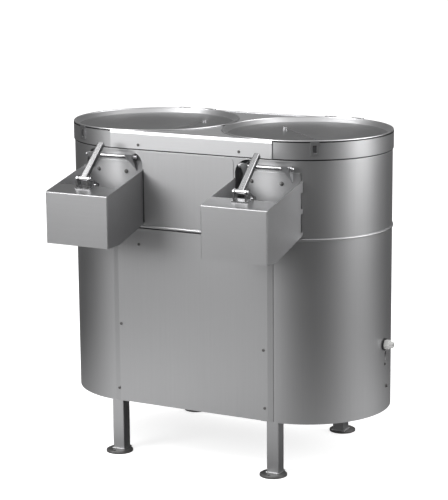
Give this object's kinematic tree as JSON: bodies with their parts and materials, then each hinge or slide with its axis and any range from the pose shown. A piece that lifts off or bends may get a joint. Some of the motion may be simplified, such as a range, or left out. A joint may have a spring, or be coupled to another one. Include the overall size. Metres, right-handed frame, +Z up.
{
  "type": "double vegetable peeling machine",
  "caption": "Twin-bowl vegetable peeler: obround steel housing on legs, two hinged recessed lids, two front chutes with outlet doors and lever clamps.",
  "frame": {"origin": "on the floor, in the middle of the four floor bolts", "axes": "+Z up, +X to the right along the length as seen from the front, +Y towards the back; the chutes are on the -Y side"},
  "size_m": [1.1034, 0.784, 1.0501],
  "materials": {
    "brushed_steel": "fine upright brushing",
    "satin_steel": "satin, turned",
    "polished_steel": "polished",
    "foot_steel": "dull",
    "peeling_grit": "coarse grit",
    "gland_plastic": "light grey, moulded",
    "seal_rubber": "black"
  },
  "bodies": {
    "housing": {"lower_shell_left": "brushed_steel", "lower_shell_right": "brushed_steel", "front_access_panel": "brushed_steel", "upper_shell_left": "brushed_steel", "upper_shell_right": "brushed_steel", "upper_front_panel": "brushed_steel", "middle_deck": "brushed_steel", "floor_plate": "brushed_steel", "collar_left": "brushed_steel", "collar_right": "brushed_steel", "front_cover_strip": "brushed_steel", "back_cover_strip": "brushed_steel", "deck_plates": "brushed_steel", "bowl_left": "brushed_steel", "bowl_right": "brushed_steel", "chute_left": "brushed_steel", "chute_right": "brushed_steel", "door_hinge_lugs": "brushed_steel", "lid_hinges": "brushed_steel", "lid_latches": "brushed_steel", "leg_front_left": "brushed_steel", "leg_front_right": "brushed_steel", "leg_back_left": "brushed_steel", "leg_back_right": "brushed_steel", "clamp_brackets": "polished_steel", "foot_front_left": "foot_steel", "foot_front_right": "foot_steel", "foot_back_left": "foot_steel", "foot_back_right": "foot_steel", "peeling_discs": "peeling_grit", "cable_gland": "gland_plastic", "cable_gland_ring": "seal_rubber"},
    "lid_left_body": {"lid_left": "satin_steel", "lid_stay_left": "polished_steel"},
    "lid_right_body": {"lid_right": "satin_steel", "lid_stay_right": "polished_steel"},
    "lever_left_body": {"clamp_lever_left": "polished_steel", "clamp_link_left": "polished_steel", "clamp_shaft_left": "polished_steel"},
    "lever_right_body": {"clamp_lever_right": "polished_steel", "clamp_link_right": "polished_steel", "clamp_shaft_right": "polished_steel"},
    "door_left_body": {"outlet_door_left": "brushed_steel", "door_shaft_left": "polished_steel"},
    "door_right_body": {"outlet_door_right": "brushed_steel", "door_shaft_right": "polished_steel"}
  },
  "joints": [
    {"name": "lid_left_hinge", "type": "hinge", "parent": "housing", "child": "lid_left_body", "pos_m": [-0.27, 0.276, 1.0461], "axis": [-1, 0, 0], "range_deg": [0, 75]},
    {"name": "lid_right_hinge", "type": "hinge", "parent": "housing", "child": "lid_right_body", "pos_m": [0.27, 0.276, 1.0461], "axis": [-1, 0, 0], "range_deg": [0, 75]},
    {"name": "clamp_left_pivot", "type": "hinge", "parent": "housing", "child": "lever_left_body", "pos_m": [-0.279, -0.4335, 0.91773], "axis": [1, 0, 0], "range_deg": [0, 80]},
    {"name": "clamp_right_pivot", "type": "hinge", "parent": "housing", "child": "lever_right_body", "pos_m": [0.261, -0.4335, 0.91773], "axis": [1, 0, 0], "range_deg": [0, 80]},
    {"name": "door_left_hinge", "type": "hinge", "parent": "housing", "child": "door_left_body", "pos_m": [-0.279, -0.269, 0.965], "axis": [-1, 0, 0], "range_deg": [0, 35]},
    {"name": "door_right_hinge", "type": "hinge", "parent": "housing", "child": "door_right_body", "pos_m": [0.261, -0.269, 0.965], "axis": [-1, 0, 0], "range_deg": [0, 35]}
  ]
}
